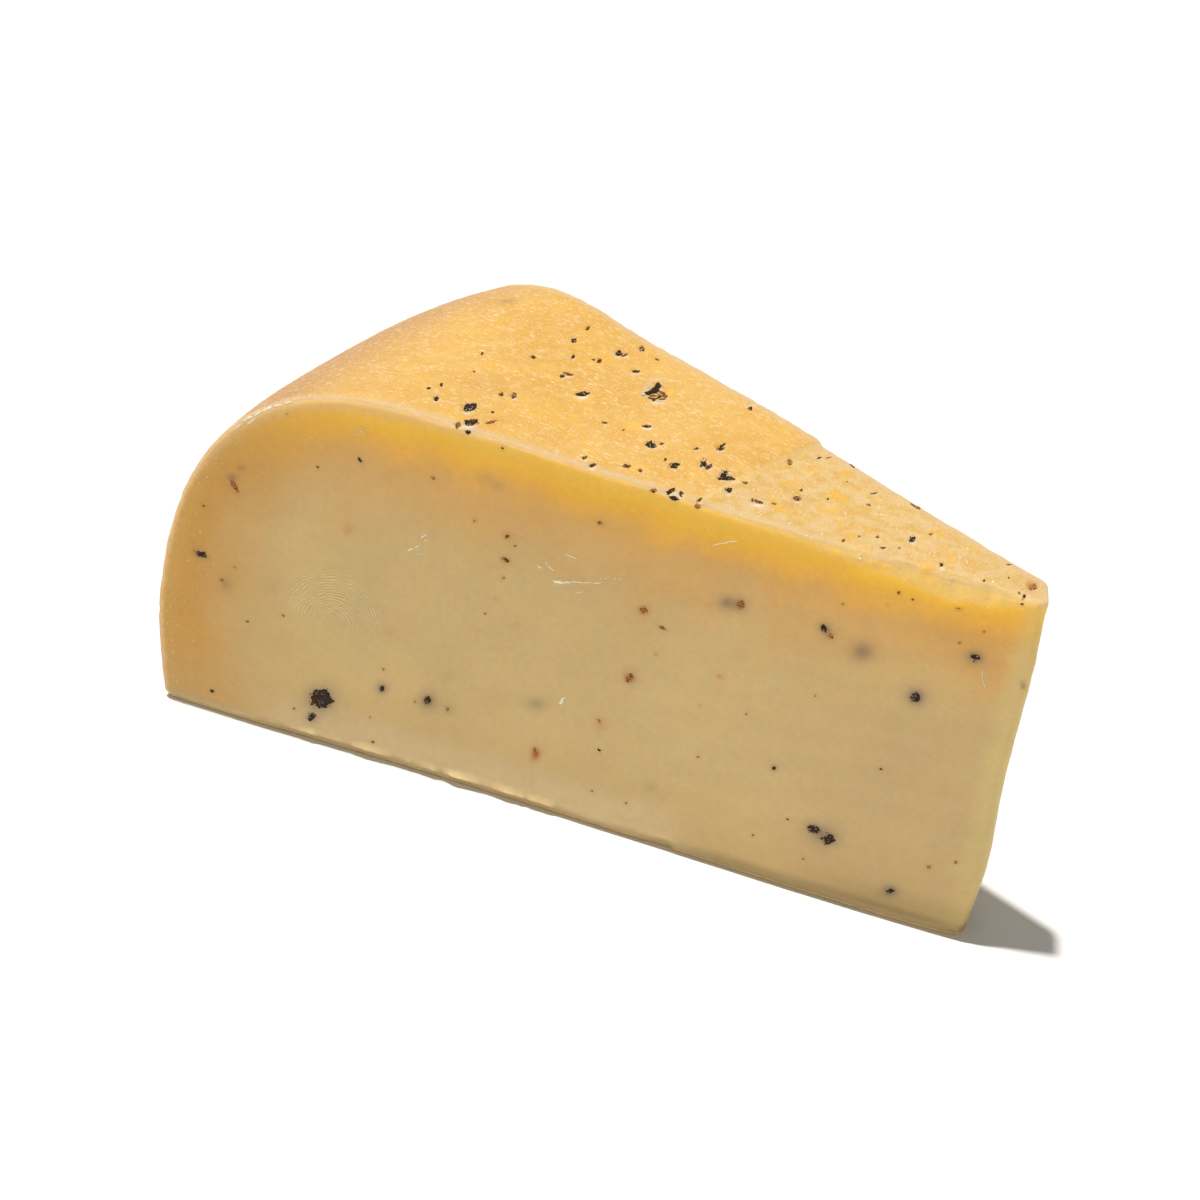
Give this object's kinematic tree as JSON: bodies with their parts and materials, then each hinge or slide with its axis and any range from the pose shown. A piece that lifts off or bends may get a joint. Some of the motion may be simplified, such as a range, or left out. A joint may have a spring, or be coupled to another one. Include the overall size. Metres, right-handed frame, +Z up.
{
  "type": "cheese wedge",
  "caption": "Wedge of semi-hard cheese cut from a round wheel, with a rounded rind shoulder, two flat cut faces, a blunt tip and dark flecks.",
  "frame": {"origin": "middle of the bottom of the wedge's box, on the face it rests on", "axes": "+Z up, +X towards the tip, the front cut face towards -Y, the rounded rind at -X"},
  "size_m": [0.1488, 0.0798, 0.0668],
  "materials": {
    "cheese": "satin, slightly waxy cut faces and a matt cloth-printed rind"
  },
  "bodies": {
    "root": {"cheese_wedge": "cheese"}
  },
  "joints": []
}
